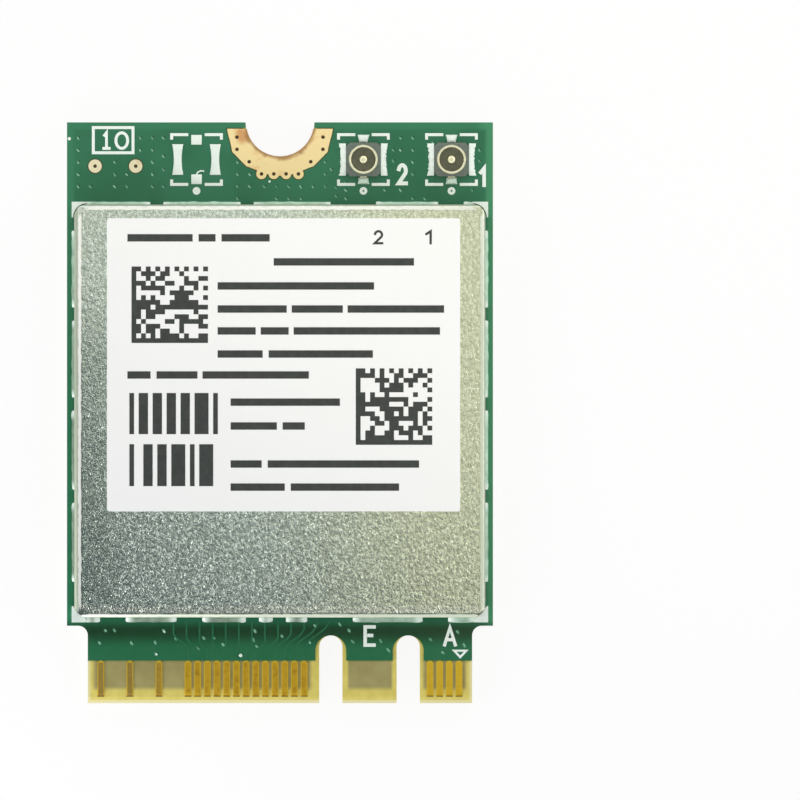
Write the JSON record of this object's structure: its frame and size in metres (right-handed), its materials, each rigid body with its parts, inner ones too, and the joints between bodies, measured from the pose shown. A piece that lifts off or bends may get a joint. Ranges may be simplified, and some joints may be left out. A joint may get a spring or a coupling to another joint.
{
  "type": "wireless network card",
  "caption": "Plug-in wireless network card: keyed edge-contact board with a plated mounting notch, a folded shield can under a label and coaxial antenna ports.",
  "frame": {"origin": "middle of the card's outline, on the back face that it lies on", "axes": "+X across the card, +Y from the contact tongue to the mounting notch, +Z out of the component side"},
  "size_m": [0.022, 0.03, 0.0022],
  "materials": {
    "laminate": "glass-fibre epoxy, cut edges matt",
    "solder_mask": "satin green lacquer",
    "gold_plate": "thin gold plating on copper",
    "tin": "bright tin solder",
    "shield_sheet": "satin nickel-silver sheet with a fine grain",
    "label_film": "matt white film",
    "chip_moulding": "matt black moulding",
    "ceramic_body": "fired ceramic",
    "ferrite": "dark pressed ferrite",
    "port_metal": "gold flash over nickel",
    "port_moulding": "dark grey moulded plastic"
  },
  "bodies": {
    "root": {"circuit_board": "laminate", "solder_mask_top": "solder_mask", "solder_mask_bottom": "solder_mask", "mounting_pad": "gold_plate", "contacts_top": "gold_plate", "contacts_bottom": "gold_plate", "probe_pads": "gold_plate", "spare_port_lands": "tin", "spare_port_solder": "tin", "shield_lands": "tin", "shield_solder": "tin", "shield_can": "shield_sheet", "label": "label_film", "radio_chip": "chip_moulding", "radio_chip_terminals": "tin", "crystal_base": "ceramic_body", "crystal_lid": "shield_sheet", "front_end_module_1": "chip_moulding", "front_end_module_2": "chip_moulding", "diplexer_1": "ceramic_body", "diplexer_2": "ceramic_body", "power_inductor": "ferrite", "capacitors": "ceramic_body", "resistors": "chip_moulding", "tuning_inductors": "ceramic_body", "antenna_1_lands": "tin", "antenna_1_shell": "port_metal", "antenna_1_pin": "port_metal", "antenna_1_housing": "port_moulding", "antenna_1_solder": "tin", "antenna_2_lands": "tin", "antenna_2_shell": "port_metal", "antenna_2_pin": "port_metal", "antenna_2_housing": "port_moulding", "antenna_2_solder": "tin"}
  },
  "joints": []
}
